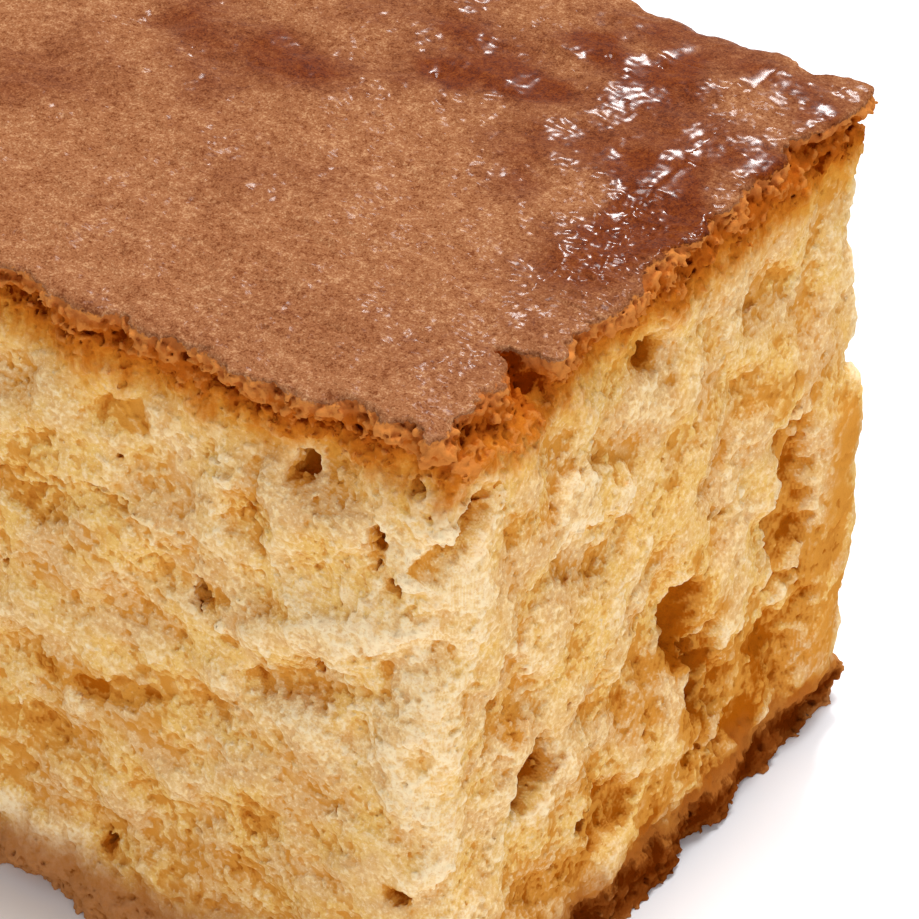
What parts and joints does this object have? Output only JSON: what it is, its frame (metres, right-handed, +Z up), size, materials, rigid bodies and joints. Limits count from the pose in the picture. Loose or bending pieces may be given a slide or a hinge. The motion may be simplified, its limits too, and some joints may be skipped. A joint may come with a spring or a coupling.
{
  "type": "orange sponge cake",
  "caption": "Rectangular cut block of orange sponge cake: browned top crust with an overhanging rim and a chipped corner, torn porous crumb on the sides, thin base crust.",
  "frame": {"origin": "under the middle of the block, on the surface it rests on", "axes": "+X along the longer side, with the chipped corner at +X -Y; +Z up, towards the browned top crust"},
  "size_m": [0.062, 0.045, 0.0464],
  "materials": {
    "sponge": "baked sponge: matte, porous pale yellow crumb, with a grainy brown crust on top and a thin browned base"
  },
  "bodies": {
    "root": {"sponge_cake": "sponge"}
  },
  "joints": []
}
